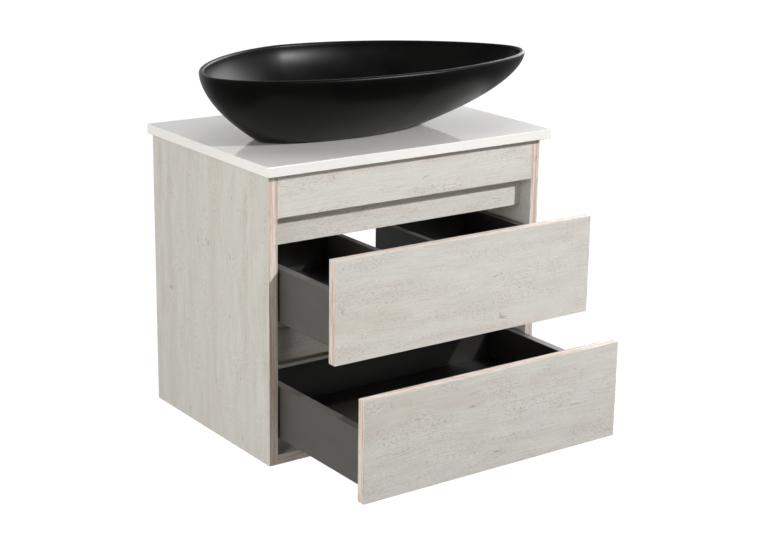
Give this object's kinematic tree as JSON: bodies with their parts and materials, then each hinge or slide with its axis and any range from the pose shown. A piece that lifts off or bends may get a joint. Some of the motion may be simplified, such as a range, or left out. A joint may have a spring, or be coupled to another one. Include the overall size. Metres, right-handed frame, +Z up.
{
  "type": "wall hung vanity with vessel basin",
  "caption": "Wall-hung whitewashed wood vanity with pull-out drawers, finger-groove fronts, a gloss white top and an asymmetric matt black vessel basin.",
  "frame": {"origin": "centre of the hanging rail's back face, on the wall plane and the cabinet's centreline", "axes": "+Z up, +Y into the wall, so the drawers open towards -Y, and +X to the right seen from the front"},
  "size_m": [0.6633, 0.678, 0.6858],
  "materials": {
    "whitewashed_wood": "whitewashed pine-look laminate, matt",
    "white_gloss": "high-gloss white laminated board",
    "black_ceramic": "satin black glaze",
    "grey_board": "anthracite laminate, matt",
    "zinc_steel": "zinc plated sheet steel",
    "chrome": "polished chrome",
    "grey_plastic": "moulded, matt",
    "black_rubber": "smooth",
    "white_plastic": "moulded, matt"
  },
  "bodies": {
    "cabinet": {"left_side_panel": "whitewashed_wood", "right_side_panel": "whitewashed_wood", "bottom_panel": "whitewashed_wood", "front_top_rail": "whitewashed_wood", "upper_recess_rail": "whitewashed_wood", "middle_recess_rail": "whitewashed_wood", "hanging_rail": "whitewashed_wood", "lower_back_rail": "whitewashed_wood", "left_hanger_housing": "white_plastic", "left_hanger_hook": "zinc_steel", "right_hanger_housing": "white_plastic", "right_hanger_hook": "zinc_steel", "countertop": "white_gloss", "basin": "black_ceramic", "drain_gasket": "black_rubber", "drain_body": "chrome", "drain_washer": "black_rubber", "drain_lock_nut": "chrome", "drain_tailpipe": "chrome", "upper_drawer_cabinet_runner_left": "zinc_steel", "upper_drawer_cabinet_runner_right": "zinc_steel", "lower_drawer_cabinet_runner_left": "zinc_steel", "lower_drawer_cabinet_runner_right": "zinc_steel"},
    "drain_plug": {"drain_plug": "chrome"},
    "upper_drawer": {"upper_drawer_front": "whitewashed_wood", "upper_drawer_side_left": "grey_board", "upper_drawer_drawer_runner_left": "zinc_steel", "upper_drawer_clip_left": "grey_plastic", "upper_drawer_side_right": "grey_board", "upper_drawer_drawer_runner_right": "zinc_steel", "upper_drawer_clip_right": "grey_plastic", "upper_drawer_bottom": "grey_board", "upper_drawer_back_left": "grey_board", "upper_drawer_back_right": "grey_board", "upper_drawer_siphon_wall_left": "grey_board", "upper_drawer_siphon_wall_right": "grey_board", "upper_drawer_siphon_wall_front": "grey_board"},
    "lower_drawer": {"lower_drawer_front": "whitewashed_wood", "lower_drawer_side_left": "grey_board", "lower_drawer_drawer_runner_left": "zinc_steel", "lower_drawer_clip_left": "grey_plastic", "lower_drawer_side_right": "grey_board", "lower_drawer_drawer_runner_right": "zinc_steel", "lower_drawer_clip_right": "grey_plastic", "lower_drawer_bottom": "grey_board", "lower_drawer_back": "grey_board"},
    "upper_drawer_middle_runner_left": {"upper_drawer_middle_runner_left": "zinc_steel"},
    "upper_drawer_middle_runner_right": {"upper_drawer_middle_runner_right": "zinc_steel"},
    "lower_drawer_middle_runner_left": {"lower_drawer_middle_runner_left": "zinc_steel"},
    "lower_drawer_middle_runner_right": {"lower_drawer_middle_runner_right": "zinc_steel"}
  },
  "joints": [
    {"name": "drain_plug_lift", "type": "slide", "parent": "cabinet", "child": "drain_plug", "axis": [0, 0, 1], "range_m": [0, 0.008]},
    {"name": "upper_drawer_slide", "type": "slide", "parent": "cabinet", "child": "upper_drawer", "axis": [0, -1, 0], "range_m": [-0.174, 0.126]},
    {"name": "upper_drawer_middle_runner_left_slide", "type": "slide", "parent": "cabinet", "child": "upper_drawer_middle_runner_left", "axis": [0, -1, 0], "range_m": [-0.087, 0.063]},
    {"name": "upper_drawer_middle_runner_right_slide", "type": "slide", "parent": "cabinet", "child": "upper_drawer_middle_runner_right", "axis": [0, -1, 0], "range_m": [-0.087, 0.063]},
    {"name": "lower_drawer_slide", "type": "slide", "parent": "cabinet", "child": "lower_drawer", "axis": [0, -1, 0], "range_m": [-0.263, 0.037]},
    {"name": "lower_drawer_middle_runner_left_slide", "type": "slide", "parent": "cabinet", "child": "lower_drawer_middle_runner_left", "axis": [0, -1, 0], "range_m": [-0.1315, 0.0185]},
    {"name": "lower_drawer_middle_runner_right_slide", "type": "slide", "parent": "cabinet", "child": "lower_drawer_middle_runner_right", "axis": [0, -1, 0], "range_m": [-0.1315, 0.0185]}
  ],
  "couplings": [
    {"joint": "upper_drawer_middle_runner_left_slide", "follows": "upper_drawer_slide", "ratio": 0.5},
    {"joint": "upper_drawer_middle_runner_right_slide", "follows": "upper_drawer_slide", "ratio": 0.5},
    {"joint": "lower_drawer_middle_runner_left_slide", "follows": "lower_drawer_slide", "ratio": 0.5},
    {"joint": "lower_drawer_middle_runner_right_slide", "follows": "lower_drawer_slide", "ratio": 0.5}
  ]
}
